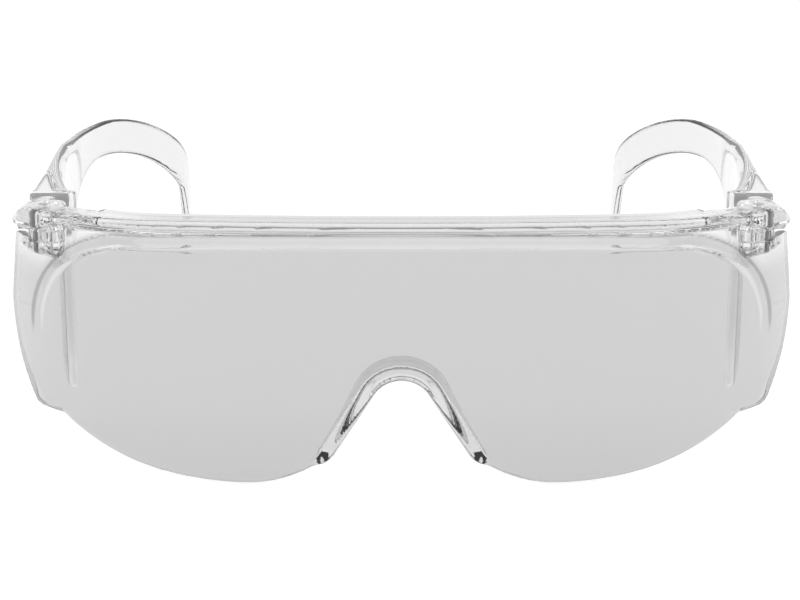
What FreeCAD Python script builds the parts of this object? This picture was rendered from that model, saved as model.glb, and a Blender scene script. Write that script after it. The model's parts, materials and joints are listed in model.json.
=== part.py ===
"""Clear over-the-glasses safety spectacles: one moulded wrap-around shield with a raised
window, a brow bar, an arched nose bridge and two hinge clevises; two folding temples with
side panels; and two steel hinge pins.

Everything is drawn in the shield's own frame, in millimetres: X across, Y back from the
front of the window, Z up from the shield's lowest edge. At the end the whole assembly is
leaned back until the shield and both temple tips stand on Z = 0.
"""
import FreeCAD, Part
import math
import os
from FreeCAD import Vector

# ---- Shield: plan curve (seen from above) ------------------------------------------------
FRONT_R = 500.0          # gentle curve across the window
FRONT_HALF = 46.4        # half-width of that curve, where the side curve takes over
SIDE_R = 42.0            # curve round each temple
WRAP_DEG = 70.0          # how far each side curve turns
WALL = 2.2               # moulded wall
# ---- Shield: heights ---------------------------------------------------------------------
HEIGHT = 53.1            # lowest edge to top of brow
TOP_CORNER = (72.8, 45.1)  # centre of the rounded top corner, in X and Z
TOP_CORNER_R = 8.0
WINDOW_TOP = 49.6        # top edge of the raised window at the centre line
WINDOW_STEP = 2.0        # how far the brow is set back behind the window
STEP_END = 32.0          # height at which the step has faded into the sides
WINDOW_CORNER = (54.0, 28.8)   # centre of the window's corner arc, in X and Z
WINDOW_CORNER_R = 20.0
BROW_DEPTH = 9.4         # how far the brow's top flange reaches back from the window face
BROW_THICK = 2.2
# ---- Shield: lower outline (front view) --------------------------------------------------
LOBE_X = 31.0            # where each lobe is lowest
LOBE_INNER_R = 26.0
LOBE_OUTER_R = 68.0
LOBE_OUTER_END = 66.5
SIDE_EDGE = (68.6, 11.4)  # start of the level lower edge of the sides, in X and Z
NOSE_TOP = 21.8
NOSE_R = 6.5
NOSE_LEG_DEG = 33.2      # lean of each leg of the nose arch from upright
NOSE_FOOT_Z = 6.2
# ---- Shield: rear edge (side view) -------------------------------------------------------
REAR_Y = 27.6
REAR_BEND_Z = 36.0       # above this the rear edge is upright
REAR_BEND_R = 30.0
REAR_LEAN_DEG = 35.0
# ---- Nose bridge flange ------------------------------------------------------------------
BRIDGE_DEPTH = 10.0
BRIDGE_THICK = 1.9
BRIDGE_FRONT = 0.6       # where it starts, just inside the window
BRIDGE_REAR_R = 8.8      # arch at the rear: its radius, centre height and leg angle
BRIDGE_REAR_Z = 13.9
BRIDGE_REAR_DEG = 25.0
BRIDGE_FOOT_Z = 4.3
# ---- Hinge -------------------------------------------------------------------------------
PIN_X = 72.3
PIN_Y = 20.6
PIN_R = 1.1
PIN_TOP = 52.0
PIN_LOW = 43.6
HOUSING_LOW = 43.8       # underside of the lower lug
LUG_R = 3.4
SLOT_LOW = 45.8          # slot between the lugs, for the temple's tongue
SLOT_HIGH = 48.4
SLOT_R = 3.8
SWING_IN_R = 4.4         # ring round the pin kept clear for the folding temple's root
SWING_OUT_R = 14.0
SWING_DEG = 210.0        # how far round that ring reaches, from the outer side
TONGUE_R = 3.4
BORE_CLEAR = 0.05        # running clearance round the pin
PAD_PROUD = 0.6          # the housing stands out from the side wall by this much
PAD_EDGE = ((60.0, 53.4), (84.0, 45.6))  # slanting lower edge of the housing, in X and Z
# ---- Temple: plan curve ------------------------------------------------------------------
ARM_WALL = 2.0
ARM_FRONT_Y = 26.6
ARM_WIDE = (78.5, 90.0)  # widest point of the wall's mid line, in X and Y
ARM_BOW_R = 206.0        # long outward bow from the hinge to the widest point
ARM_IN_R = 84.0          # curve in behind the ear
ARM_IN_DEG = 26.0
ARM_BACK_Y = 145.0       # where the curve back begins
ARM_BACK_R = 26.0
ARM_BACK_DEG = 24.0
ARM_TIP_Y = 166.0
FLANGE_EDGE = ((76.6, 28.6), (79.5, 84.0))  # outer edge of the top flange, in X and Y
FLANGE_THICK = 2.2
TONGUE_LOW = 46.0
TONGUE_HIGH = 48.2
ROOT_DEPTH = 3.0         # block that joins the tongue, the flange and the panel
# ---- Temple: side outline, (Y, Z) --------------------------------------------------------
ARM_TOP = 53.4
ARM_UNDER = 44.6
PANEL_LOW = 12.0
PANEL_REAR = 46.0
EAR = (114.5, -4.6)      # centre of the bend over the ear, in Y and Z
EAR_OUT_R = 58.0
EAR_IN_R = 49.2
EAR_DEG = 46.0
TIP = (157.4, 18.0)      # centre of the rounded tip, in Y and Z
TIP_R = 4.0
# ---- Stance ------------------------------------------------------------------------------
FAR = 300.0              # larger than anything here, for cutting blocks


def polar(centre, radius, degrees):
    """Point at an angle from the first axis, about a centre, in a flat outline."""
    a = math.radians(degrees)
    return (centre[0] + radius * math.cos(a), centre[1] + radius * math.sin(a))


def arc(centre, radius, a0, a1):
    """Outline item: an arc from angle a0, where the outline already is, to a1."""
    return ("arc", polar(centre, radius, (a0 + a1) / 2), polar(centre, radius, a1))


def flat_wire(items, place):
    """Closed wire from outline items; ("arc", via, end) bends through a point."""
    edges = []
    here = items[0]
    for item in items[1:] + [items[0]]:
        if len(item) == 3:
            edges.append(Part.Arc(place(here), place(item[1]), place(item[2])).toShape())
            here = item[2]
        elif math.dist(here, item) > 1e-6:
            edges.append(Part.makeLine(place(here), place(item)))
            here = item
    return Part.Wire(edges)


def on_plan(z):
    """Places plan points (X, Y) at a height."""
    return lambda p: Vector(p[0], p[1], z)


def on_front(y):
    """Places front-view points (X, Z) at a depth."""
    return lambda p: Vector(p[0], y, p[1])


def on_side(x):
    """Places side-view points (Y, Z) at a width."""
    return lambda p: Vector(x, p[0], p[1])


def plan_block(items, z0, z1):
    return Part.Face(flat_wire(items, on_plan(z0))).extrude(Vector(0, 0, z1 - z0))


def front_block(items, y0, y1):
    return Part.Face(flat_wire(items, on_front(y0))).extrude(Vector(0, y1 - y0, 0))


def side_block(items, x0, x1):
    return Part.Face(flat_wire(items, on_side(x0))).extrude(Vector(x1 - x0, 0, 0))


def mirrored(shape):
    return shape.mirror(Vector(0, 0, 0), Vector(1, 0, 0))


def one_solid(shape, name):
    """The single solid in a result, or an error naming the piece."""
    solids = shape.Solids
    if len(solids) != 1 or not shape.isValid():
        raise ValueError(f"{name}: {len(solids)} solids, valid {shape.isValid()}")
    return solids[0]


# ---- Shield -------------------------------------------------------------------------------
JOIN_DEG = math.degrees(math.asin(FRONT_HALF / FRONT_R))
FRONT_CENTRE = (0.0, FRONT_R)
SIDE_CENTRE = (
    FRONT_HALF - SIDE_R * math.sin(math.radians(JOIN_DEG)),
    FRONT_R - (FRONT_R - SIDE_R) * math.cos(math.radians(JOIN_DEG)),
)
LEFT_CENTRE = (-SIDE_CENTRE[0], SIDE_CENTRE[1])


def plan_curve(inset, backwards=False):
    """Plan outline items from one end to the other, moved in by an inset."""
    side = SIDE_R - inset
    front = FRONT_R - inset
    if backwards:
        return [
            polar(SIDE_CENTRE, side, -90 + WRAP_DEG),
            arc(SIDE_CENTRE, side, -90 + WRAP_DEG, -90 + JOIN_DEG),
            arc(FRONT_CENTRE, front, -90 + JOIN_DEG, -90 - JOIN_DEG),
            arc(LEFT_CENTRE, side, -90 - JOIN_DEG, -90 - WRAP_DEG),
        ]
    return [
        polar(LEFT_CENTRE, side, -90 - WRAP_DEG),
        arc(LEFT_CENTRE, side, -90 - WRAP_DEG, -90 - JOIN_DEG),
        arc(FRONT_CENTRE, front, -90 - JOIN_DEG, -90 + JOIN_DEG),
        arc(SIDE_CENTRE, side, -90 + JOIN_DEG, -90 + WRAP_DEG),
    ]


def wall_outline(outer, inner):
    return plan_curve(outer) + plan_curve(inner, backwards=True)


def wall(outer, inner, z0, z1):
    """Upright wall between two insets of the plan curve."""
    return plan_block(wall_outline(outer, inner), z0, z1)


def leaning_wall(outer0, outer1, thick):
    """Wall from STEP_END to HEIGHT whose inset changes evenly with height."""
    low = flat_wire(wall_outline(outer0, outer0 + thick), on_plan(STEP_END))
    high = flat_wire(wall_outline(outer1, outer1 + thick), on_plan(HEIGHT))
    return Part.makeLoft([low, high], True, True)


NOSE_CENTRE = (0.0, NOSE_TOP - NOSE_R)
NOSE_SHOULDER = polar(NOSE_CENTRE, NOSE_R, NOSE_LEG_DEG)
NOSE_SLOPE = math.tan(math.radians(NOSE_LEG_DEG))
NOSE_FOOT = (NOSE_SHOULDER[0] + (NOSE_SHOULDER[1] - NOSE_FOOT_Z) * NOSE_SLOPE, NOSE_FOOT_Z)


def lower_outline():
    """Right half of the shield's lower outline, closed far above and outside."""
    inner_centre = (LOBE_X, LOBE_INNER_R)
    outer_centre = (LOBE_X, LOBE_OUTER_R)
    inner_deg = -180 + math.degrees(math.asin((LOBE_INNER_R - 4.0) / LOBE_INNER_R))
    outer_deg = -90 + math.degrees(math.asin((LOBE_OUTER_END - LOBE_X) / LOBE_OUTER_R))
    return [
        (0.0, NOSE_TOP),
        arc(NOSE_CENTRE, NOSE_R, 90, NOSE_LEG_DEG),
        NOSE_FOOT,
        polar(inner_centre, LOBE_INNER_R, inner_deg),
        arc(inner_centre, LOBE_INNER_R, inner_deg, -90),
        arc(outer_centre, LOBE_OUTER_R, -90, outer_deg),
        SIDE_EDGE,
        (FAR, SIDE_EDGE[1]),
        (FAR, FAR),
        (0.0, FAR),
    ]


def top_outline():
    """Front-view outline of the shield's top edge and rounded top corners."""
    left = (-TOP_CORNER[0], TOP_CORNER[1])
    right_side = TOP_CORNER[0] + TOP_CORNER_R
    return [
        (-FAR, -5.0),
        (-FAR, TOP_CORNER[1] - 8.0),
        (-right_side - 0.6, TOP_CORNER[1] - 8.0),
        (-right_side, TOP_CORNER[1]),
        arc(left, TOP_CORNER_R, 180, 90),
        (TOP_CORNER[0], TOP_CORNER[1] + TOP_CORNER_R),
        arc(TOP_CORNER, TOP_CORNER_R, 90, 0),
        (right_side + 0.6, TOP_CORNER[1] - 8.0),
        (FAR, TOP_CORNER[1] - 8.0),
        (FAR, -5.0),
    ]


def window_outline(inset):
    """Front-view outline of the raised window; it runs on below the shield."""
    radius = WINDOW_CORNER_R - inset
    left = (-WINDOW_CORNER[0], WINDOW_CORNER[1])
    shoulder = WINDOW_CORNER[1] + radius
    return [
        (-WINDOW_CORNER[0] - radius, -10.0),
        (-WINDOW_CORNER[0] - radius, WINDOW_CORNER[1]),
        arc(left, radius, 180, 90),
        ("arc", (0.0, WINDOW_TOP - inset), (WINDOW_CORNER[0], shoulder)),
        arc(WINDOW_CORNER, radius, 90, 0),
        (WINDOW_CORNER[0] + radius, -10.0),
    ]


def in_front_of_rear_edge():
    """Block holding everything in front of the shield's rear edge."""
    bend = (REAR_Y - REAR_BEND_R, REAR_BEND_Z)
    low = polar(bend, REAR_BEND_R, -REAR_LEAN_DEG)
    drop = (low[1] + 5.0) * math.tan(math.radians(REAR_LEAN_DEG))
    return side_block(
        [
            (-FAR, -5.0),
            (low[0] - drop, -5.0),
            low,
            arc(bend, REAR_BEND_R, -REAR_LEAN_DEG, 0),
            (REAR_Y, FAR),
            (-FAR, FAR),
        ],
        -FAR,
        FAR,
    )


def bridge_outline(radius, centre_z, leg_deg):
    """Closed outline of the nose flange round an arch of a given radius and leg angle."""
    centre = (0.0, centre_z)
    slope = math.tan(math.radians(leg_deg))
    right = []
    for arch_r in (radius, radius + BRIDGE_THICK):
        shoulder = polar(centre, arch_r, leg_deg)
        foot = (shoulder[0] + (shoulder[1] - BRIDGE_FOOT_Z) * slope, BRIDGE_FOOT_Z)
        right.append((shoulder, foot))
    (in_shoulder, in_foot), (out_shoulder, out_foot) = right
    return [
        (-in_foot[0], in_foot[1]),
        (-in_shoulder[0], in_shoulder[1]),
        ("arc", (0.0, centre_z + radius), in_shoulder),
        in_foot,
        out_foot,
        out_shoulder,
        ("arc", (0.0, centre_z + radius + BRIDGE_THICK), (-out_shoulder[0], out_shoulder[1])),
        (-out_foot[0], out_foot[1]),
    ]


def nose_bridge():
    """Arched flange that runs back from the nose opening, opening out towards the face."""
    front = bridge_outline(NOSE_R, NOSE_CENTRE[1], NOSE_LEG_DEG)
    rear = bridge_outline(BRIDGE_REAR_R, BRIDGE_REAR_Z, BRIDGE_REAR_DEG)
    ends = [flat_wire(front, on_front(BRIDGE_FRONT)), flat_wire(rear, on_front(BRIDGE_DEPTH))]
    return Part.makeLoft(ends, True, True)


def housing():
    """Right-hand hinge housing: an outer pad and a block round the pin."""
    pad = wall(-PAD_PROUD, 3.0, HOUSING_LOW - 2.0, HEIGHT)
    (x0, z0), (x1, z1) = PAD_EDGE
    above_edge = front_block([(x0, z0), (x1, z1), (x1, FAR), (x0, FAR)], 2.0, REAR_Y)
    pad = pad.common(above_edge)
    height = HEIGHT - HOUSING_LOW
    boss = Part.makeCylinder(LUG_R, height, Vector(PIN_X, PIN_Y, HOUSING_LOW))
    web = plan_block(
        [
            (PIN_X - LUG_R, PIN_Y),
            (PIN_X - LUG_R - 2.4, 12.0),
            (PIN_X - 3.0, 11.5),
            (PIN_X + 3.2, 18.0),
            (PIN_X + 5.2, REAR_Y - 1.6),
            (PIN_X + 1.4, REAR_Y - 2.0),
        ],
        HOUSING_LOW,
        HEIGHT,
    )
    return pad.multiFuse([boss, web])


def swing_room():
    """Room for the temple's tongue and root to swing from straight back to folded in."""
    pin_at = (PIN_X, PIN_Y)
    slot_height = SLOT_HIGH - SLOT_LOW
    round_room = Part.makeCylinder(SLOT_R, slot_height, Vector(PIN_X, PIN_Y, SLOT_LOW))
    tongue_room = plan_block(
        [
            pin_at,
            (PIN_X + SWING_OUT_R, PIN_Y),
            arc(pin_at, SWING_OUT_R, 0, SWING_DEG),
        ],
        SLOT_LOW,
        SLOT_HIGH,
    )
    root_room = plan_block(
        [
            polar(pin_at, SWING_IN_R, 100),
            polar(pin_at, SWING_OUT_R, 100),
            arc(pin_at, SWING_OUT_R, 100, SWING_DEG),
            polar(pin_at, SWING_IN_R, SWING_DEG),
            arc(pin_at, SWING_IN_R, SWING_DEG, 100),
        ],
        HOUSING_LOW - 1.0,
        HEIGHT + 1.0,
    )
    return tongue_room.multiFuse([round_room, root_room])


def shield():
    """The clear one-piece shield with its brow, nose bridge and hinge clevises."""
    window = wall(0.0, WALL, 0.0, HEIGHT).common(front_block(window_outline(0.0), -20.0, FAR))
    rim = leaning_wall(0.0, 0.0, WALL + WINDOW_STEP)
    rim = rim.common(front_block(window_outline(0.0), -20.0, FAR))
    inside_rim = front_block(window_outline(WALL), -20.0, FAR)
    rim = rim.cut(inside_rim)
    brow = leaning_wall(0.0, WINDOW_STEP, WALL).cut(inside_rim)
    low_sides = wall(0.0, WALL, 0.0, STEP_END)
    top_flange = wall(WINDOW_STEP, BROW_DEPTH, HEIGHT - BROW_THICK, HEIGHT)
    body = window.multiFuse([brow, rim, low_sides, top_flange])
    right = housing()
    body = body.multiFuse([right, mirrored(right)])
    body = body.common(front_block(top_outline(), -20.0, FAR))
    half = front_block(lower_outline(), -20.0, FAR)
    body = body.common(half.fuse(mirrored(half)))
    body = body.common(in_front_of_rear_edge())
    body = body.fuse(nose_bridge())
    bore = Part.makeCylinder(PIN_R, PIN_TOP - PIN_LOW, Vector(PIN_X, PIN_Y, PIN_LOW))
    cuts = swing_room().fuse(bore)
    body = body.cut(cuts).cut(mirrored(cuts))
    return one_solid(body.removeSplitter(), "front_lens")


# ---- Temple -------------------------------------------------------------------------------
def arm_line(offset):
    """Centres, radii and angles of the arm's plan line, offset outwards from mid wall."""
    curl = (ARM_WIDE[0] - ARM_IN_R, ARM_WIDE[1])
    turn_in = math.radians(ARM_IN_DEG)
    turn_out = math.radians(ARM_IN_DEG - ARM_BACK_DEG)
    mid_end = polar(curl, ARM_IN_R, ARM_IN_DEG)
    back_x = mid_end[0] - (ARM_BACK_Y - mid_end[1]) * math.tan(turn_in)
    back = (back_x + ARM_BACK_R * math.cos(turn_in), ARM_BACK_Y + ARM_BACK_R * math.sin(turn_in))
    back_r = ARM_BACK_R - offset
    a0 = 180 + ARM_IN_DEG
    a1 = a0 - ARM_BACK_DEG
    back_end = polar(back, back_r, a1)
    bow_r = ARM_BOW_R + offset
    return {
        "bow": (ARM_WIDE[0] - ARM_BOW_R, ARM_WIDE[1]),
        "bow_r": bow_r,
        "front_deg": -math.degrees(math.asin((ARM_WIDE[1] - ARM_FRONT_Y) / bow_r)),
        "curl": curl,
        "curl_r": ARM_IN_R + offset,
        "back": back,
        "back_r": back_r,
        "a0": a0,
        "a1": a1,
        "tip": (back_end[0] - (ARM_TIP_Y - back_end[1]) * math.tan(turn_out), ARM_TIP_Y),
    }


def arm_outline():
    """Closed plan outline of the arm's wall."""
    out = arm_line(ARM_WALL / 2)
    inn = arm_line(-ARM_WALL / 2)
    return [
        polar(out["bow"], out["bow_r"], out["front_deg"]),
        arc(out["bow"], out["bow_r"], out["front_deg"], 0),
        arc(out["curl"], out["curl_r"], 0, ARM_IN_DEG),
        polar(out["back"], out["back_r"], out["a0"]),
        arc(out["back"], out["back_r"], out["a0"], out["a1"]),
        out["tip"],
        inn["tip"],
        polar(inn["back"], inn["back_r"], inn["a1"]),
        arc(inn["back"], inn["back_r"], inn["a1"], inn["a0"]),
        polar(inn["curl"], inn["curl_r"], ARM_IN_DEG),
        arc(inn["curl"], inn["curl_r"], ARM_IN_DEG, 0),
        arc(inn["bow"], inn["bow_r"], 0, inn["front_deg"]),
    ]


def side_outline():
    """Side view of the temple: panel, arm, ear bend and tip, as (Y, Z) items."""
    tip_low = (TIP[0], TIP[1] - TIP_R)
    return [
        (ARM_FRONT_Y, TONGUE_HIGH),
        (ARM_FRONT_Y + 2.6, TONGUE_HIGH + 1.6),
        (ARM_FRONT_Y + 4.0, ARM_TOP),
        (EAR[0], ARM_TOP),
        arc(EAR, EAR_OUT_R, 90, 90 - EAR_DEG),
        (TIP[0] + TIP_R, TIP[1] + 1.0),
        ("arc", tip_low, (TIP[0] - TIP_R, TIP[1] + 0.6)),
        polar(EAR, EAR_IN_R, 90 - EAR_DEG),
        arc(EAR, EAR_IN_R, 90 - EAR_DEG, 90),
        ("arc", (102.0, 42.4), (92.0, 36.8)),
        (58.0, 20.4),
        ("arc", (51.0, 16.4), (PANEL_REAR, PANEL_LOW)),
        (ARM_FRONT_Y - 4.0, PANEL_LOW),
        (ARM_FRONT_Y - 4.0, TONGUE_HIGH),
    ]


def temple():
    """Right-hand temple in the shield's frame, opened straight back."""
    arm = plan_block(arm_outline(), 0.0, HEIGHT + 2.0)
    arm = arm.common(side_block(side_outline(), 40.0, 100.0))
    (x0, y0), (x1, y1) = FLANGE_EDGE
    mid = arm_line(0.0)
    wall_front = polar(mid["bow"], mid["bow_r"], mid["front_deg"])
    wall_half = polar(mid["bow"], mid["bow_r"], mid["front_deg"] / 2)
    inner_x = wall_front[0] - ARM_WALL / 2
    flange = plan_block(
        [wall_front, (x0, y0), (x1, y1), ARM_WIDE, ("arc", wall_half, wall_front)],
        ARM_TOP - FLANGE_THICK,
        ARM_TOP,
    )
    root = plan_block(
        [(inner_x, y0), (x0, y0), (x0, y0 + ROOT_DEPTH), (inner_x, y0 + ROOT_DEPTH)],
        TONGUE_LOW,
        ARM_TOP,
    )
    height = TONGUE_HIGH - TONGUE_LOW
    disc = Part.makeCylinder(TONGUE_R, height, Vector(PIN_X, PIN_Y, TONGUE_LOW))
    neck = plan_block(
        [
            polar((PIN_X, PIN_Y), TONGUE_R, 118),
            (PIN_X, PIN_Y),
            (PIN_X + TONGUE_R, PIN_Y),
            (x0, y0 + 1.0),
            (inner_x, y0 + 1.0),
        ],
        TONGUE_LOW,
        TONGUE_HIGH,
    )
    flange = flange.cut(plan_block([(0, 0), (FAR, 0), (FAR, y0), (0, y0)], 0.0, FAR))
    body = arm.multiFuse([flange, root, disc, neck])
    bore = Part.makeCylinder(PIN_R + BORE_CLEAR, height, Vector(PIN_X, PIN_Y, TONGUE_LOW))
    return one_solid(body.cut(bore).removeSplitter(), "temple")


def pin():
    """Steel hinge pin."""
    return Part.makeCylinder(PIN_R, PIN_TOP - PIN_LOW, Vector(PIN_X, PIN_Y, PIN_LOW))


# ---- Stance -------------------------------------------------------------------------------
def leaned(shape, degrees):
    """Copy of a shape with its rear turned down about the X axis."""
    turned = shape.copy()
    turned.rotate(Vector(0, 0, 0), Vector(1, 0, 0), -degrees)
    return turned


def lowest(shape):
    return shape.optimalBoundingBox(False).ZMin


def stance_degrees(front, arm):
    """Lean at which the shield and the temple tip stand on the same plane."""
    low = 0.0
    high = 20.0
    for _ in range(24):
        mid = (low + high) / 2
        if lowest(leaned(arm, mid)) > lowest(leaned(front, mid)):
            low = mid
        else:
            high = mid
    return (low + high) / 2


def main():
    os.makedirs("parts", exist_ok=True)
    front = shield()
    arm = temple()
    hinge_pin = pin()
    pieces = {
        "front_lens": front,
        "left_temple": arm,
        "right_temple": mirrored(arm),
        "left_hinge_pin": hinge_pin,
        "right_hinge_pin": mirrored(hinge_pin),
    }
    lean = stance_degrees(front, arm)
    pieces = {name: leaned(piece, lean) for name, piece in pieces.items()}
    boxes = [piece.optimalBoundingBox(False) for piece in pieces.values()]
    middle = (min(b.YMin for b in boxes) + max(b.YMax for b in boxes)) / 2
    floor = min(b.ZMin for b in boxes)
    for name, piece in pieces.items():
        piece.translate(Vector(0, -middle, -floor))
        piece.exportStep("parts/" + name + ".step")
    print("lean", round(lean, 4), "middle", round(middle, 3), "floor", round(floor, 3))


main()
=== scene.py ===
"""Looks of the clear over-the-glasses safety spectacles.

The shield and the temples are rebuilt as finely moulded skins: each is a distance field in
the shield's own level frame (millimetres, X across, Y back, Z up), meshed as quads and set
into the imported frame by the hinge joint's own place and axis.
"""
import json
import math
import bpy
import numpy as np
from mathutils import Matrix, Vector

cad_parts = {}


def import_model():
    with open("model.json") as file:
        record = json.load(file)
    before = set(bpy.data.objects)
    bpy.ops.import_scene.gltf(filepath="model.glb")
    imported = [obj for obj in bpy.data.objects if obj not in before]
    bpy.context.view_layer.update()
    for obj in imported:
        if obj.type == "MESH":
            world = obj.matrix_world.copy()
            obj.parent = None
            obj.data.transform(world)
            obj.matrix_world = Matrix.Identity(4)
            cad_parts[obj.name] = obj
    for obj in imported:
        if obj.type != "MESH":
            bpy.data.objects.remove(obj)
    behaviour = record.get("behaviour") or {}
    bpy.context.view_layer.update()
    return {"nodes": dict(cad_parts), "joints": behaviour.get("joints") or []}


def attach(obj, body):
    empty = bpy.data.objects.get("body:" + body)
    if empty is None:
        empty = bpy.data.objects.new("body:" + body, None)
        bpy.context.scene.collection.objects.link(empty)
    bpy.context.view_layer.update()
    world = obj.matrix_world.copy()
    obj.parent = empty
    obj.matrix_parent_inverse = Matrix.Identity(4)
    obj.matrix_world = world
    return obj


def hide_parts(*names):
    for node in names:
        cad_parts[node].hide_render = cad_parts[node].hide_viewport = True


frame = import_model()
MM = 0.001
CELL = 0.55  # mesh cell of the moulded skins
ARC_STEP = 0.3                      # spacing of the points that tell inside from outside
FAR = 300.0                         # well past every piece
SHIELD_SPACE = ((-83.0, -1.5, -1.5), (83.0, 29.5, 55.0))
TEMPLE_SPACE = ((20.0, 15.0, 8.0), (81.0, 165.5, 55.5))
SETTLE_STEP = 0.03                  # reach of the slope that moves corners onto the surface
NORMAL_STEP = 0.06                  # reach of the slope that gives the normals

# ---- Shield, as in the CAD model ----------------------------------------------------------
FRONT_R = 500.0               # plan curve: a shallow front arc, then tighter side arcs
FRONT_HALF = 46.4
SIDE_R = 42.0
WALL = 2.2
HEIGHT = 53.1
TOP_CORNER = (72.8, 45.1)     # centre of the rounded upper corner, in X and Z
TOP_CORNER_R = 8.0
TOP_CORNER_SPREAD = 0.075     # the side below it widens by this much per mm
WINDOW_TOP = 49.6
WINDOW_STEP = 2.0             # how far the brow is set back from the window
STEP_END = 32.0               # height where that step has died out
STEP_RAMP = 2.4
REAR_ROUND = 0.7              # the rounded rear edge keeps the full width
WINDOW_CORNER = (54.0, 28.8)
WINDOW_CORNER_R = 20.0
BROW_DEPTH = 9.4
BROW_THICK = 2.2
LOBE_X = 31.0                 # lower lobes: one arc towards the nose, one towards the side
LOBE_INNER_R = 26.0
LOBE_INNER_LOW = 4.0          # height where the inner arc starts
LOBE_OUTER_R = 68.0
LOBE_OUTER_END = 66.5
SIDE_EDGE = (68.6, 11.4)
NOSE_TOP = 21.8
NOSE_R = 6.5
NOSE_LEG_DEG = 33.2
NOSE_FOOT_Z = 6.2
REAR_Y = 27.6                 # rear edge of the sides: upright, then leaning forward
REAR_BEND_Z = 36.0
REAR_BEND_R = 30.0
REAR_LEAN_DEG = 35.0
BRIDGE_FRONT = 0.3            # nose flange
BRIDGE_DEPTH = 10.0
BRIDGE_THICK = 1.9
BRIDGE_REAR_R = 8.8
BRIDGE_REAR_Z = 13.9
BRIDGE_REAR_DEG = 25.0
BRIDGE_FOOT_Z = 4.3
# ---- Hinge --------------------------------------------------------------------------------
PIN_X = 72.3
PIN_Y = 20.6
PIN_R = 1.1
PIN_TOP = 52.0
PIN_LOW = 43.6
PIN_GAP = 0.06
HOUSING_LOW = 43.8
LUG_R = 3.4
SLOT_LOW = 45.8               # slot for the temple's tongue
SLOT_HIGH = 48.4
SLOT_R = 3.8
SWING_IN_R = 4.4              # ring that the temple's root sweeps
SWING_OUT_R = 14.0
SWING_START_DEG = 100.0
SWING_DEG = 210.0
ROOM_BELOW = 1.0
TONGUE_R = 3.4
TONGUE_LOW = 46.0
TONGUE_HIGH = 48.2
PAD_PROUD = 0.6               # pad on the outside of the hinge
PAD_INSET = 3.0
PAD_BELOW = 2.0
PAD_EDGE = ((60.0, 53.4), (84.0, 45.6))
# ---- Temple -------------------------------------------------------------------------------
ARM_WALL = 2.0
ARM_FRONT_Y = 26.6
ARM_WIDE = (78.5, 90.0)       # widest point, in X and Y
ARM_BOW_R = 206.0
ARM_IN_R = 84.0
ARM_IN_DEG = 26.0
ARM_BACK_Y = 145.0
ARM_BACK_R = 26.0
ARM_BACK_DEG = 24.0
ARM_TIP_Y = 166.0
ARM_TOP = 53.4
FLANGE_EDGE = ((76.6, 28.6), (79.5, 84.0))
FLANGE_THICK = 2.2
ROOT_DEPTH = 3.0
PANEL_LOW = 12.0
PANEL_REAR = 46.0
PANEL_SWEEP = ((58.0, 20.4), (51.0, 16.4))   # lower edge behind the panel, in Y and Z
ARM_UNDER = ((102.0, 42.4), (92.0, 36.8))    # lower edge in front of the ear bend
EAR = (114.5, -4.6)           # centre of the ear bend, in Y and Z
EAR_OUT_R = 58.0
EAR_IN_R = 49.2
EAR_DEG = 46.0
TIP = (157.4, 18.0)
TIP_R = 4.0
# ---- Moulded roundings --------------------------------------------------------------------
RIM = 1.3                     # round of an outer edge
CROOK = 1.2                   # round of an inner corner
CRISP = 0.5                   # round of a small edge
# ---- Tones of the plastic and the painted light on it, 0 to 1 -----------------------------
WINDOW_TONE = 0.35
# window grey by the attribute: 0 a painted shade line, WINDOW_TONE the window's own grey, 1
# painted highlight
WINDOW_GREYS_AND_PAINTED_LIGHT = ((0.0, 0.22), (WINDOW_TONE, 0.56), (1.0, 0.80))
# temple grey: the satin front edges are drawn lighter, painted light that goes with their
# painted glow
TEMPLE_GREYS_AND_PAINTED_LIGHT = ((0.0, 0.78), (1.0, 0.95))
SIDE_GREY_Z = 42.0            # the side walls are as grey as the window up to about here; above it they carry a painted highlight
BROW_GREY_X = 52.0            # and so is the brow's top flange out to about here
PAINTED_LINE_OFFSET = 1.1               # from the step's middle to the painted highlight line inside it and the painted shade line outside
PAINTED_LINE_WIDTH = 0.42
SATIN = 0.75                  # how milky the panel's front edge is
SATIN_DEPTH = 0.8             # how far its satin runs round the corners
PAINTED_GLOW = 0.6              # painted glow of that edge, emission though it is no lamp
# ---- Camera -------------------------------------------------------------------------------
CAMERA_LENS = 87.7
CAMERA_DISTANCE = 378.0
CAMERA_UP_DEG = 20.18
CAMERA_TARGET = (-0.3, -78.1, 38.38)


# ---- Distance fields ----------------------------------------------------------------------
def soft_max(a, b, round_by):
    """Overlap of two fields with a rounded outer edge."""
    near = np.maximum(round_by - np.abs(a - b), 0.0) / round_by
    return np.maximum(a, b) + near * near * round_by / 4


def soft_min(a, b, round_by):
    """Join of two fields with a rounded inner corner."""
    return -soft_max(-a, -b, round_by)


def slab(value, low, high):
    """Distance outside the band from low to high, negative in it."""
    return np.abs(value - (low + high) / 2) - (high - low) / 2


def ramp(value, width):
    """Smooth step from 0 to 1 across a width centred on zero."""
    t = np.clip(value / width + 0.5, 0.0, 1.0)
    return t * t * (3 - 2 * t)


def polar(centre, radius, degrees):
    """Point at an angle on a circle."""
    a = math.radians(degrees)
    return (centre[0] + radius * math.cos(a), centre[1] + radius * math.sin(a))


def outline(*items):
    """Closed outline from points and (centre, radius, from, to) arcs: spans and a ring."""
    spans = []
    ring = []
    for item in items:
        start = item if len(item) == 2 else polar(*item[:3])
        if ring:
            spans.append((ring[-1], start))
        ring.append(start)
        if len(item) == 4:
            centre, radius, a0, a1 = item
            count = max(2, int(math.radians(abs(a1 - a0)) * radius / ARC_STEP))
            spans.append(item)
            ring += [polar(centre, radius, a) for a in np.linspace(a0, a1, count + 1)[1:]]
    spans.append((ring[-1], ring[0]))
    return [s for s in spans if len(s) == 4 or math.dist(*s) > 1e-6], ring


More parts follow.
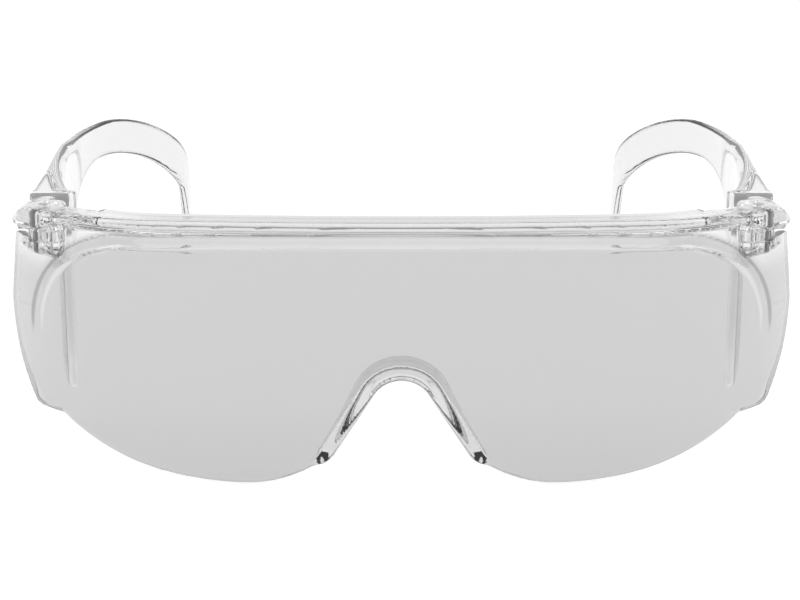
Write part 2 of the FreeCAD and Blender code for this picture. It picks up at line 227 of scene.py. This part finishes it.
def span_distance(u, v, span):
    """Distance from a line between two points, or from an arc."""
    if len(span) == 2:
        (au, av), (bu, bv) = span
        eu, ev = bu - au, bv - av
        t = np.clip(((u - au) * eu + (v - av) * ev) / (eu * eu + ev * ev), 0.0, 1.0)
        return np.hypot(u - au - t * eu, v - av - t * ev)
    centre, radius, a0, a1 = span
    middle = math.radians((a0 + a1) / 2)
    half = math.radians(abs(a1 - a0) / 2)
    du, dv = u - centre[0], v - centre[1]
    turn = np.arctan2(dv, du) - middle
    turn -= math.tau * np.round(turn / math.tau)
    turn = np.clip(turn, -half, half) + middle
    return np.hypot(du - radius * np.cos(turn), dv - radius * np.sin(turn))


def path_distance(u, v, spans):
    """Distance from the nearest of some spans."""
    nearest = span_distance(u, v, spans[0])
    for span in spans[1:]:
        nearest = np.minimum(nearest, span_distance(u, v, span))
    return nearest


def inside_ring(u, v, ring):
    """Whether points lie inside a closed ring of points, by counting crossings."""
    inside = np.zeros(np.broadcast(u, v).shape, bool)
    for (au, av), (bu, bv) in zip(ring, ring[1:] + ring[:1]):
        if av != bv:
            crosses = (v >= av) != (v >= bv)
            inside ^= crosses & (u < au + (v - av) * (bu - au) / (bv - av))
    return inside


def outline_distance(u, v, shape):
    """Signed distance from a closed outline, negative inside it."""
    spans, ring = shape
    return np.where(inside_ring(u, v, ring), -1.0, 1.0) * path_distance(u, v, spans)


# ---- Shield field -------------------------------------------------------------------------
JOIN = math.asin(FRONT_HALF / FRONT_R)
SIDE_CENTRE = (
    FRONT_HALF - SIDE_R * math.sin(JOIN),
    FRONT_R - (FRONT_R - SIDE_R) * math.cos(JOIN),
)
NOSE_CENTRE = (0.0, NOSE_TOP - NOSE_R)


def nose_foot():
    """Foot of the right leg of the nose opening, in X and Z."""
    x, z = polar(NOSE_CENTRE, NOSE_R, NOSE_LEG_DEG)
    return (x + (z - NOSE_FOOT_Z) * math.tan(math.radians(NOSE_LEG_DEG)), NOSE_FOOT_Z)


def lower_edge():
    """Right half of the area above the shield's lower edge, in X and Z."""
    inner = (LOBE_X, LOBE_INNER_R)
    outer = (LOBE_X, LOBE_OUTER_R)
    inner_deg = -180 + math.degrees(math.asin((LOBE_INNER_R - LOBE_INNER_LOW) / LOBE_INNER_R))
    outer_deg = -90 + math.degrees(math.asin((LOBE_OUTER_END - LOBE_X) / LOBE_OUTER_R))
    return outline(
        (-FAR, NOSE_TOP),
        (NOSE_CENTRE, NOSE_R, 90, NOSE_LEG_DEG),
        nose_foot(),
        (inner, LOBE_INNER_R, inner_deg, -90),
        (outer, LOBE_OUTER_R, -90, outer_deg),
        SIDE_EDGE,
        (FAR, SIDE_EDGE[1]),
        (FAR, FAR),
        (-FAR, FAR),
    )


def window_edge():
    """Right half of the raised window; it runs on below the shield."""
    shoulder = WINDOW_CORNER[1] + WINDOW_CORNER_R
    rise = WINDOW_TOP - shoulder
    crown_r = (WINDOW_CORNER[0] ** 2 + rise ** 2) / (2 * rise)
    crown = (0.0, WINDOW_TOP - crown_r)
    crown_deg = 90 - math.degrees(math.asin(WINDOW_CORNER[0] / crown_r))
    return outline(
        (-FAR, -FAR),
        (-FAR, WINDOW_TOP),
        (crown, crown_r, 90, crown_deg),
        (WINDOW_CORNER, WINDOW_CORNER_R, 90, 0),
        (WINDOW_CORNER[0] + WINDOW_CORNER_R, -FAR),
    )


def web_edge():
    """Plan of the web that ties the pin's lug to the wall, in X and Y."""
    return outline(
        (PIN_X - LUG_R, PIN_Y),
        (PIN_X - LUG_R - 2.4, 12.0),
        (PIN_X - 3.0, 11.5),
        (PIN_X + 3.2, 18.0),
        (PIN_X + 5.2, REAR_Y - 1.6),
        (PIN_X + 1.4, REAR_Y - 2.0),
    )


LOWER_EDGE = lower_edge()
WINDOW_EDGE = window_edge()
WEB_EDGE = web_edge()


def plan_inset(x, y):
    """How far a plan point lies behind the outside of the shield's plan curve."""
    front = FRONT_R - np.hypot(x, y - FRONT_R)
    side = SIDE_R - np.hypot(x - SIDE_CENTRE[0], y - SIDE_CENTRE[1])
    return np.where(x < (FRONT_R - y) * math.tan(JOIN), front, side)


def rear_distance(y, z):
    """How far a side-view point lies behind the shield's rear edge."""
    bend = (REAR_Y - REAR_BEND_R, REAR_BEND_Z)
    lean = math.radians(REAR_LEAN_DEG)
    upright = y - REAR_Y
    round_part = np.hypot(y - bend[0], z - bend[1]) - REAR_BEND_R
    leaning = (y - bend[0]) * math.cos(lean) - (z - bend[1]) * math.sin(lean) - REAR_BEND_R
    below = z < bend[1] - (y - bend[0]) * math.tan(lean)
    return np.where(z > bend[1], upright, np.where(below, leaning, round_part))


def bridge_field(x, y, z):
    """The arched flange that runs back from the nose opening, opening out as it goes."""
    back = np.clip(y / BRIDGE_DEPTH, 0.0, 1.0)
    radius = NOSE_R + (BRIDGE_REAR_R - NOSE_R) * back
    up = z - NOSE_CENTRE[1] - (BRIDGE_REAR_Z - NOSE_CENTRE[1]) * back
    leg = np.radians(NOSE_LEG_DEG + (BRIDGE_REAR_DEG - NOSE_LEG_DEG) * back)
    over_arch = np.hypot(x, up)
    on_leg = x * np.cos(leg) + up * np.sin(leg)
    out = np.where(up * np.cos(leg) > x * np.sin(leg), over_arch, on_leg) - radius
    band = slab(out, 0.0, BRIDGE_THICK)
    band = soft_max(band, slab(y, BRIDGE_FRONT, BRIDGE_DEPTH), CROOK)
    return soft_max(band, BRIDGE_FOOT_Z - z, RIM)


def hinge_room(x, y, z):
    """Room for the temple's tongue and root, with the pin's bore; negative inside."""
    reach = np.hypot(x - PIN_X, y - PIN_Y)
    start, turn = math.radians(SWING_START_DEG), math.radians(SWING_DEG)
    dx, dy = x - PIN_X, y - PIN_Y
    past_turn = dy * math.cos(turn) - dx * math.sin(turn)
    tongue = np.maximum(np.minimum(-dy, past_turn), reach - SWING_OUT_R)
    tongue = np.minimum(tongue, reach - SLOT_R)
    tongue = np.maximum(tongue, slab(z, SLOT_LOW, SLOT_HIGH))
    before_start = dx * math.sin(start) - dy * math.cos(start)
    root = np.maximum(np.maximum(past_turn, before_start), slab(reach, SWING_IN_R, SWING_OUT_R))
    root = np.maximum(root, HOUSING_LOW - ROOM_BELOW - z)
    bore = np.maximum(reach - PIN_R - PIN_GAP, slab(z, PIN_LOW - PIN_GAP, PIN_TOP + PIN_GAP))
    return np.minimum(np.minimum(tongue, root), bore)


def brow_set_back(z):
    """How far the wall round the window is set back from it, at a height."""
    return WINDOW_STEP * np.clip((z - STEP_END) / (HEIGHT - STEP_END), 0.0, 1.0)


def shield_field(x, y, z):
    """The whole shield: wall, brow flange, hinge, rounded outline and nose flange."""
    x = np.abs(x)
    inset = plan_inset(x, y)
    edge = outline_distance(x, z, WINDOW_EDGE)
    set_back = brow_set_back(z)
    outer = set_back * ramp(edge, STEP_RAMP)
    inner = WALL + set_back * ramp(edge + WALL / 2, STEP_RAMP)
    wall = np.maximum(outer - inset, inset - inner)
    flange = soft_max(inset - BROW_DEPTH, HEIGHT - BROW_THICK - z, RIM)
    flange = np.maximum(flange, outer - inset)
    body = soft_min(wall, flange, CROOK)
    (x0, z0), (x1, z1) = PAD_EDGE
    run = math.dist(*PAD_EDGE)
    above_edge = ((x - x0) * (z0 - z1) + (z - z0) * (x1 - x0)) / run
    pad = soft_max(slab(inset, -PAD_PROUD, PAD_INSET), -above_edge, CRISP)
    pad = np.maximum(pad, HOUSING_LOW - PAD_BELOW - z)
    reach = np.hypot(x - PIN_X, y - PIN_Y)
    block = soft_min(reach - LUG_R, outline_distance(x, y, WEB_EDGE), CRISP)
    block = soft_max(block, HOUSING_LOW - z, CRISP)
    body = soft_min(body, soft_min(pad, block, CRISP), CRISP)
    corner_x = x - TOP_CORNER[0] - TOP_CORNER_SPREAD * np.maximum(TOP_CORNER[1] - z, 0.0)
    corner_z = z - TOP_CORNER[1]
    top = np.hypot(np.maximum(corner_x, 0.0), np.maximum(corner_z, 0.0))
    top = top + np.minimum(np.maximum(corner_x, corner_z), 0.0) - TOP_CORNER_R
    body = soft_max(body, top, RIM)
    body = soft_max(body, outline_distance(x, z, LOWER_EDGE), RIM)
    body = soft_max(body, rear_distance(y, z) - REAR_ROUND, RIM)
    body = soft_min(body, bridge_field(x, y, z), CROOK)
    return soft_max(body, -hinge_room(x, y, z), CRISP)


# ---- Temple field -------------------------------------------------------------------------
def arm_path():
    """Spans of the arm's mid line in plan."""
    bow = (ARM_WIDE[0] - ARM_BOW_R, ARM_WIDE[1])
    curl = (ARM_WIDE[0] - ARM_IN_R, ARM_WIDE[1])
    turn_in = math.radians(ARM_IN_DEG)
    mid_end = polar(curl, ARM_IN_R, ARM_IN_DEG)
    back_x = mid_end[0] - (ARM_BACK_Y - mid_end[1]) * math.tan(turn_in)
    back = (back_x + ARM_BACK_R * math.cos(turn_in), ARM_BACK_Y + ARM_BACK_R * math.sin(turn_in))
    a0 = 180 + ARM_IN_DEG
    a1 = a0 - ARM_BACK_DEG
    back_end = polar(back, ARM_BACK_R, a1)
    turn_out = math.radians(ARM_IN_DEG - ARM_BACK_DEG)
    tip = (back_end[0] - (ARM_TIP_Y - back_end[1]) * math.tan(turn_out), ARM_TIP_Y)
    front = -math.degrees(math.asin((ARM_WIDE[1] - ARM_FRONT_Y) / ARM_BOW_R))
    spans = [
        (bow, ARM_BOW_R, front, 0),
        (curl, ARM_IN_R, 0, ARM_IN_DEG),
        (mid_end, polar(back, ARM_BACK_R, a0)),
        (back, ARM_BACK_R, a1, a0),
        (back_end, tip),
    ]
    return spans, polar(bow, ARM_BOW_R, front), polar(bow, ARM_BOW_R, front / 2)


def circle_through(a, b, c):
    """Centre and radius of the circle through three points."""
    (ax, ay), (bx, by), (cx, cy) = a, b, c
    d = 2 * (ax * (by - cy) + bx * (cy - ay) + cx * (ay - by))
    a2, b2, c2 = ax * ax + ay * ay, bx * bx + by * by, cx * cx + cy * cy
    ux = (a2 * (by - cy) + b2 * (cy - ay) + c2 * (ay - by)) / d
    uy = (a2 * (cx - bx) + b2 * (ax - cx) + c2 * (bx - ax)) / d
    return (ux, uy), math.dist((ux, uy), a)


def arc_through(a, b, c):
    """Arc item from a to c through b."""
    centre, radius = circle_through(a, b, c)
    angles = [math.degrees(math.atan2(p[1] - centre[1], p[0] - centre[0])) for p in (a, b, c)]
    turn = (angles[2] - angles[0]) % 360
    if (angles[1] - angles[0]) % 360 > turn:
        turn -= 360
    return (centre, radius, angles[0], angles[0] + turn)


def temple_side():
    """Side view of the temple: panel, arm, ear bend and tip, in Y and Z."""
    low_end = (TIP[0] - TIP_R, TIP[1] + 0.6)
    high_end = (TIP[0] + TIP_R, TIP[1] + 1.0)
    return outline(
        (ARM_FRONT_Y, TONGUE_HIGH),
        (ARM_FRONT_Y + 2.6, TONGUE_HIGH + 1.6),
        (ARM_FRONT_Y + 4.0, ARM_TOP),
        (EAR, EAR_OUT_R, 90, 90 - EAR_DEG),
        arc_through(high_end, (TIP[0], TIP[1] - TIP_R), low_end),
        (EAR, EAR_IN_R, 90 - EAR_DEG, 90),
        arc_through((EAR[0], EAR[1] + EAR_IN_R), *ARM_UNDER),
        arc_through(*PANEL_SWEEP, (PANEL_REAR, PANEL_LOW)),
        (ARM_FRONT_Y - 4.0, PANEL_LOW),
        (ARM_FRONT_Y - 4.0, TONGUE_HIGH),
    )


ARM_PATH, WALL_FRONT, WALL_HALF = arm_path()
INNER_X = WALL_FRONT[0] - ARM_WALL / 2
TEMPLE_SIDE = temple_side()
FLANGE_PLAN = outline(
    WALL_FRONT,
    FLANGE_EDGE[0],
    FLANGE_EDGE[1],
    arc_through(ARM_WIDE, WALL_HALF, WALL_FRONT),
)
NECK_PLAN = outline(
    polar((PIN_X, PIN_Y), TONGUE_R, 118),
    (PIN_X, PIN_Y),
    (PIN_X + TONGUE_R, PIN_Y),
    (FLANGE_EDGE[0][0], FLANGE_EDGE[0][1] + 1.0),
    (INNER_X, FLANGE_EDGE[0][1] + 1.0),
)


def temple_field(x, y, z):
    """The whole left temple: arm and panel, top flange, root and hinge tongue."""
    wall = path_distance(x, y, ARM_PATH) - ARM_WALL / 2
    wall = soft_max(wall, ARM_FRONT_Y - y, RIM)
    wall = soft_max(wall, outline_distance(y, z, TEMPLE_SIDE), RIM)
    flange = outline_distance(x, y, FLANGE_PLAN)
    flange = np.maximum(flange, FLANGE_EDGE[0][1] - y)
    flange = soft_max(flange, slab(z, ARM_TOP - FLANGE_THICK, ARM_TOP), RIM)
    body = soft_min(wall, flange, CROOK)
    root = np.maximum(slab(x, INNER_X, FLANGE_EDGE[0][0]),
                      slab(y, FLANGE_EDGE[0][1], FLANGE_EDGE[0][1] + ROOT_DEPTH))
    root = soft_max(root, slab(z, TONGUE_LOW, ARM_TOP), CRISP)
    reach = np.hypot(x - PIN_X, y - PIN_Y)
    tongue = np.minimum(reach - TONGUE_R, outline_distance(x, y, NECK_PLAN))
    tongue = soft_max(tongue, slab(z, TONGUE_LOW, TONGUE_HIGH), CRISP)
    body = soft_min(body, soft_min(root, tongue, CRISP), CRISP)
    return soft_max(body, PIN_R + PIN_GAP - reach, CRISP)


# ---- Meshing ------------------------------------------------------------------------------
def surface_net(field, low, high, cell):
    """Quads over a field's zero surface: corners in millimetres and the quad list."""
    axes = [np.arange(a, b + cell, cell) for a, b in zip(low, high)]
    size = [len(a) for a in axes]
    value = np.broadcast_to(field(*np.meshgrid(*axes, indexing="ij", sparse=True)), size)
    inside = value < 0
    strides = np.array([size[1] * size[2], size[2], 1])
    count = np.zeros(size[0] * size[1] * size[2])
    total = np.zeros((3, count.size))
    rings = []
    for axis in range(3):
        ahead = np.roll(inside, -1, axis)
        i = np.argwhere(inside != ahead)
        i = i[i[:, axis] < size[axis] - 1]
        here = i @ strides
        va = value.ravel()[here] if value.flags.c_contiguous else value[tuple(i.T)]
        nxt = i.copy()
        nxt[:, axis] += 1
        vb = value[tuple(nxt.T)]
        at = i.astype(float)
        at[:, axis] += va / (va - vb)
        u, v = strides[(axis + 1) % 3], strides[(axis + 2) % 3]
        cells = np.stack([here, here - u, here - u - v, here - v], axis=1)
        cells[va >= 0] = cells[va >= 0][:, ::-1]
        for column in range(4):
            count += np.bincount(cells[:, column], minlength=count.size)
            for k in range(3):
                total[k] += np.bincount(cells[:, column], at[:, k], minlength=count.size)
        rings.append(cells)
    used = np.flatnonzero(count)
    number = np.full(count.size, -1)
    number[used] = np.arange(used.size)
    corners = (total[:, used] / count[used]).T * cell + np.array(low)
    return corners, number[np.concatenate(rings)]


def slope(field, at, reach):
    """Field's gradient at points, by central differences."""
    rise = np.empty_like(at)
    for k in range(3):
        step = np.zeros(3)
        step[k] = reach
        rise[:, k] = (field(*(at + step).T) - field(*(at - step).T)) / (2 * reach)
    return rise


def settle(field, corners, cell):
    """Moves corners onto the field's zero surface and gives the surface's normals there."""
    for _ in range(2):
        rise = slope(field, corners, SETTLE_STEP)
        steep = np.maximum((rise ** 2).sum(1), 0.2)
        move = -rise * (field(*corners.T) / steep)[:, None]
        length = np.linalg.norm(move, axis=1)
        move *= np.minimum(1.0, 0.5 * cell / np.maximum(length, 1e-9))[:, None]
        corners = corners + move
    rise = slope(field, corners, NORMAL_STEP)
    return corners, rise / np.maximum(np.linalg.norm(rise, axis=1), 1e-9)[:, None]


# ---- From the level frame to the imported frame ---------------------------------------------
fold = next(j for j in frame["joints"] if j["name"] == "left_temple_fold")
LEAN = math.atan2(fold["axis"][1], fold["axis"][2])
PIN_POINT = np.array([PIN_X, PIN_Y, (TONGUE_LOW + TONGUE_HIGH) / 2])
TURN = np.array([
    [1.0, 0.0, 0.0],
    [0.0, math.cos(LEAN), math.sin(LEAN)],
    [0.0, -math.sin(LEAN), math.cos(LEAN)],
])


def place(points, flip=False):
    """Level-frame millimetres to packed-frame metres."""
    moved = (points - PIN_POINT) @ TURN.T * MM + np.array(fold["pos_m"])
    return moved * np.array([-1.0, 1.0, 1.0]) if flip else moved


def new_piece(name, points, faces, normals, tone_and_painted_light, body, slot, replaced, flip=False):
    """A piece of the visual model; flip mirrors it to the other side."""
    mesh = bpy.data.meshes.new(name)
    faces = faces[:, ::-1] if flip else faces
    mesh.from_pydata(place(points, flip).tolist(), [], faces.tolist())
    mesh.shade_smooth()
    turned = normals @ TURN.T * (np.array([-1.0, 1.0, 1.0]) if flip else 1.0)
    mesh.normals_split_custom_set_from_vertices(turned.tolist())
    # attribute with the plastic's grey and the painted light drawn on it
    mesh.attributes.new("tone_and_painted_light", "FLOAT", "POINT").data.foreach_set("value", tone_and_painted_light)
    piece = bpy.data.objects.new(name, mesh)
    bpy.context.scene.collection.objects.link(piece)
    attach(piece, body)
    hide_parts(replaced)
    return piece


def moulded(field, painted_light_tones, low, high):
    """Corners, quads, normals and tones of a field's surface, the tones holding painted light.
    """
    corners, quads = surface_net(field, low, high, CELL)
    corners, normals = settle(field, corners, CELL)
    return corners, quads, normals, painted_light_tones(*corners.T).astype(np.float32)


def shield_tone_and_painted_light(x, y, z):
    """Tone of the clear plastic with painted light: 0 a painted shade line, WINDOW_TONE the
    window's own grey,
    1 a painted highlight on the brow's front and painted light on the nose flange. Along the
    window's step run a painted highlight line and, outside it, a painted shade line."""
    x = np.abs(x)
    edge = outline_distance(x, z, WINDOW_EDGE)
    inset = plan_inset(x, y)
    outside = inset < brow_set_back(z) * ramp(edge, STEP_RAMP) + WALL / 2
    upper = ramp(z - SIDE_GREY_Z, 12.0)
    # painted highlight: the brow's front and the walls above SIDE_GREY_Z are drawn lighter than
    # the window
    step = 0.25 * ramp(edge + 0.9, 0.8) + 0.4 * ramp(edge - 1.6, 0.8)
    top = ramp(z - HEIGHT + BROW_THICK, 1.2) * ramp(BROW_GREY_X - x, 16.0)
    top = top * ramp(inset - 2.6, 1.0) * ramp(BROW_DEPTH - 1.4 - inset, 1.0)
    # painted highlight line inside the step and painted shade line outside it
    painted_lines = 0.65 * np.exp(-((edge + PAINTED_LINE_OFFSET) / PAINTED_LINE_WIDTH) ** 2)
    painted_lines = painted_lines - 0.6 * np.exp(-((edge - PAINTED_LINE_OFFSET) / PAINTED_LINE_WIDTH) ** 2)
    painted_lines = painted_lines * outside * ramp(z - WINDOW_CORNER[1], 8.0)
    # painted light: the nose flange is drawn lighter over its dark refraction spots
    painted_flange_light = ramp(-bridge_field(x, y, z) + 0.4, 0.6) * ramp(y - WALL / 2, WALL)
    return np.clip(WINDOW_TONE + step * upper * (1.0 - top) + painted_lines + painted_flange_light, 0.0, 1.0)


def temple_satin_and_painted_glow(x, y, z):
    """1 on the satin front edge of the side panel, less on that of the arm's flange; the value
    also makes these edges lighter and gives them a painted glow.
    """
    above = ramp(z - TONGUE_LOW + 1.0, 1.0)
    front = ARM_FRONT_Y + (FLANGE_EDGE[0][1] - ARM_FRONT_Y) * above
    edge = ramp(front + SATIN_DEPTH - y, 0.6) * ramp(y - PIN_Y - TONGUE_R, 1.0)
    return edge * (1.0 - 0.7 * above)


shield = new_piece(
    "shield_skin", *moulded(shield_field, shield_tone_and_painted_light, *SHIELD_SPACE),
    "shield", "clear_window", "front_lens",
)
arm = moulded(temple_field, temple_satin_and_painted_glow, *TEMPLE_SPACE)
arms = [
    new_piece("left_arm_skin", *arm, "left_arm", "clear_temple", "left_temple"),
    new_piece("right_arm_skin", *arm, "right_arm", "clear_temple", "right_temple", flip=True),
]


# ---- Materials ----------------------------------------------------------------------------
def node_material(name):
    """A new node material, its node tree and its Principled shader."""
    mat = bpy.data.materials.new(name)
    mat.use_nodes = True
    tree = mat.node_tree
    shader = tree.nodes["Principled BSDF"]
    return mat, tree, shader


def brightness_ramp(tree, stops, fac):
    """Grey of a value from 0 to 1, through (value, grey) stops."""
    node = tree.nodes.new("ShaderNodeValToRGB")
    node.color_ramp.interpolation = "EASE"
    elements = node.color_ramp.elements
    while len(elements) < len(stops):
        elements.new(0.5)
    for element, (at, level) in zip(elements, stops):
        element.position = at
        element.color = (level, level, level, 1.0)
    tree.links.new(fac, node.inputs["Fac"])
    return node.outputs["Color"]


def clear_plastic(name, tones, roughness, ripple, satin):
    """Clear moulded polycarbonate: glass shader with flow ripple. The mesh's own attribute picks
    its tone, painted light among it, and, with satin, makes it milky and gives it a painted
    glow, emission though it is no lamp."""
    mat, tree, shader = node_material(name)
    links = tree.links
    # reads the attribute of grey and painted light
    tone_and_painted_light = tree.nodes.new("ShaderNodeAttribute")
    tone_and_painted_light.attribute_name = "tone_and_painted_light"
    links.new(brightness_ramp(tree, tones, tone_and_painted_light.outputs["Fac"]), shader.inputs["Base Color"])
    coords = tree.nodes.new("ShaderNodeTexCoord")
    flow = tree.nodes.new("ShaderNodeTexNoise")
    flow.inputs["Scale"].default_value = 38.0
    flow.inputs["Detail"].default_value = 2.0
    links.new(coords.outputs["Object"], flow.inputs["Vector"])
    bump = tree.nodes.new("ShaderNodeBump")
    bump.inputs["Strength"].default_value = ripple
    bump.inputs["Distance"].default_value = 0.4 * MM
    links.new(flow.outputs["Fac"], bump.inputs["Height"])
    links.new(bump.outputs["Normal"], shader.inputs["Normal"])
    milky = tree.nodes.new("ShaderNodeMapRange")
    milky.inputs["To Min"].default_value = 1.0
    milky.inputs["To Max"].default_value = 1.0 - satin
    links.new(tone_and_painted_light.outputs["Fac"], milky.inputs["Value"])
    links.new(milky.outputs["Result"], shader.inputs["Transmission Weight"])
    if satin:
        # painted glow: emission on the satin edge, which is no lamp
        glow = tree.nodes.new("ShaderNodeMapRange")
        glow.inputs["To Max"].default_value = PAINTED_GLOW
        links.new(tone_and_painted_light.outputs["Fac"], glow.inputs["Value"])
        links.new(glow.outputs["Result"], shader.inputs["Emission Strength"])
        shader.inputs["Emission Color"].default_value = (1.0, 1.0, 1.0, 1.0)
    shader.inputs["Roughness"].default_value = roughness
    shader.inputs["IOR"].default_value = 1.52
    return mat


def pin_steel(name):
    """Turned steel with a fine grain along its length."""
    mat, tree, shader = node_material(name)
    links = tree.links
    coords = tree.nodes.new("ShaderNodeTexCoord")
    stretch = tree.nodes.new("ShaderNodeMapping")
    stretch.inputs["Scale"].default_value = (1.0, 1.0, 0.05)
    grain = tree.nodes.new("ShaderNodeTexNoise")
    grain.inputs["Scale"].default_value = 4000.0
    shade = tree.nodes.new("ShaderNodeValToRGB")
    shade.color_ramp.elements[0].color = (0.16, 0.16, 0.165, 1.0)
    shade.color_ramp.elements[1].color = (0.34, 0.34, 0.35, 1.0)
    links.new(coords.outputs["Object"], stretch.inputs["Vector"])
    links.new(stretch.outputs["Vector"], grain.inputs["Vector"])
    links.new(grain.outputs["Fac"], shade.inputs["Fac"])
    links.new(shade.outputs["Color"], shader.inputs["Base Color"])
    shader.inputs["Metallic"].default_value = 1.0
    shader.inputs["Roughness"].default_value = 0.32
    return mat


def coat(obj, mat):
    """Gives an object one material only."""
    obj.data.materials.clear()
    obj.data.materials.append(mat)


window_clear_painted_light = clear_plastic("window_clear_painted_light", WINDOW_GREYS_AND_PAINTED_LIGHT, 0.0, 0.02, 0.0)
temple_clear_painted_glow = clear_plastic("temple_clear_painted_glow", TEMPLE_GREYS_AND_PAINTED_LIGHT, 0.02, 0.03, SATIN)
steel = pin_steel("pin_steel")
coat(shield, window_clear_painted_light)
for piece in arms:
    coat(piece, temple_clear_painted_glow)
for name, node in frame["nodes"].items():
    if name.endswith("pin"):
        coat(node, steel)
    elif name.endswith("temple"):
        coat(node, temple_clear_painted_glow)
    else:
        coat(node, window_clear_painted_light)


# ---- Floor, light and camera --------------------------------------------------------------
def floor():
    """Plain white floor, just under the object and lit from itself like a light table."""
    mesh = bpy.data.meshes.new("floor")
    s = 4.0
    mesh.from_pydata([(-s, -s, 0), (s, -s, 0), (s, s, 0), (-s, s, 0)], [], [(0, 1, 2, 3)])
    obj = bpy.data.objects.new("floor", mesh)
    bpy.context.scene.collection.objects.link(obj)
    obj.location.z = -0.0002
    mat, tree, shader = node_material("floor_white")
    shader.inputs["Base Color"].default_value = (0.3, 0.3, 0.3, 1.0)
    shader.inputs["Roughness"].default_value = 0.9
    shader.inputs["Emission Color"].default_value = (1.0, 1.0, 1.0, 1.0)
    shader.inputs["Emission Strength"].default_value = 0.84
    mesh.materials.append(mat)


def area(name, at, aim, size, watts, size_y=None):
    """Soft area light aimed at a point."""
    light = bpy.data.lights.new(name, "AREA")
    light.shape = "RECTANGLE"
    light.size = size
    light.size_y = size_y or size
    light.energy = watts
    obj = bpy.data.objects.new(name, light)
    bpy.context.scene.collection.objects.link(obj)
    obj.location = at
    obj.rotation_euler = (Vector(aim) - Vector(at)).to_track_quat("-Z", "Y").to_euler()


# Brightness of the room against height: light walls, dimmer at the sides, and a dark ceiling
# that draws the moulded edges.
OPEN_SKY = ((0.0, 1.0), (0.5, 1.0), (0.7, 0.25), (1.0, 0.25))
SIDE_SKY = ((0.0, 1.0), (0.1, 1.0), (0.25, 0.75), (0.5, 0.75), (0.7, 0.25), (1.0, 0.25))


def world():
    """Plain studio sky: its brightness goes by height, and by how far to the side."""
    w = bpy.data.worlds.new("studio")
    bpy.context.scene.world = w
    w.use_nodes = True
    tree = w.node_tree
    coords = tree.nodes.new("ShaderNodeTexCoord")
    split = tree.nodes.new("ShaderNodeSeparateXYZ")
    tree.links.new(coords.outputs["Generated"], split.inputs["Vector"])
    across = tree.nodes.new("ShaderNodeMath")
    across.operation = "ABSOLUTE"
    tree.links.new(split.outputs["X"], across.inputs[0])
    to_side = tree.nodes.new("ShaderNodeMapRange")
    to_side.interpolation_type = "SMOOTHSTEP"
    to_side.inputs["From Min"].default_value = 0.45
    to_side.inputs["From Max"].default_value = 0.85
    tree.links.new(across.outputs["Value"], to_side.inputs["Value"])
    mix = tree.nodes.new("ShaderNodeMixRGB")
    tree.links.new(to_side.outputs["Result"], mix.inputs["Fac"])
    tree.links.new(brightness_ramp(tree, OPEN_SKY, split.outputs["Z"]), mix.inputs["Color1"])
    tree.links.new(brightness_ramp(tree, SIDE_SKY, split.outputs["Z"]), mix.inputs["Color2"])
    tree.links.new(mix.outputs["Color"], tree.nodes["Background"].inputs["Color"])
    tree.nodes["Background"].inputs["Strength"].default_value = 1.0


def camera():
    """Camera straight in front of the object, looking down on it."""
    cam = bpy.data.cameras.new("camera")
    cam.sensor_width = 36.0
    cam.lens = CAMERA_LENS
    cam.clip_start = 0.01
    cam.clip_end = 20.0
    obj = bpy.data.objects.new("camera", cam)
    bpy.context.scene.collection.objects.link(obj)
    elevation = math.radians(CAMERA_UP_DEG)
    back = Vector((0.0, -math.cos(elevation), math.sin(elevation)))
    obj.location = Vector(CAMERA_TARGET) * MM + back * (CAMERA_DISTANCE * MM)
    obj.rotation_euler = (-back).to_track_quat("-Z", "Y").to_euler()
    bpy.context.scene.camera = obj


floor()
world()
area("top_softbox", (0, -0.05, 0.9), (0, 0, 0), 0.9, 3.0)
area("left_strip", (-0.7, -0.35, 0.45), (0, -0.05, 0.03), 0.18, 1.0, 0.7)
area("right_strip", (0.7, -0.35, 0.45), (0, -0.05, 0.03), 0.18, 1.0, 0.7)
camera()
scene = bpy.context.scene
scene.view_settings.view_transform = "Standard"
scene.cycles.max_bounces = 32
scene.cycles.transmission_bounces = 32
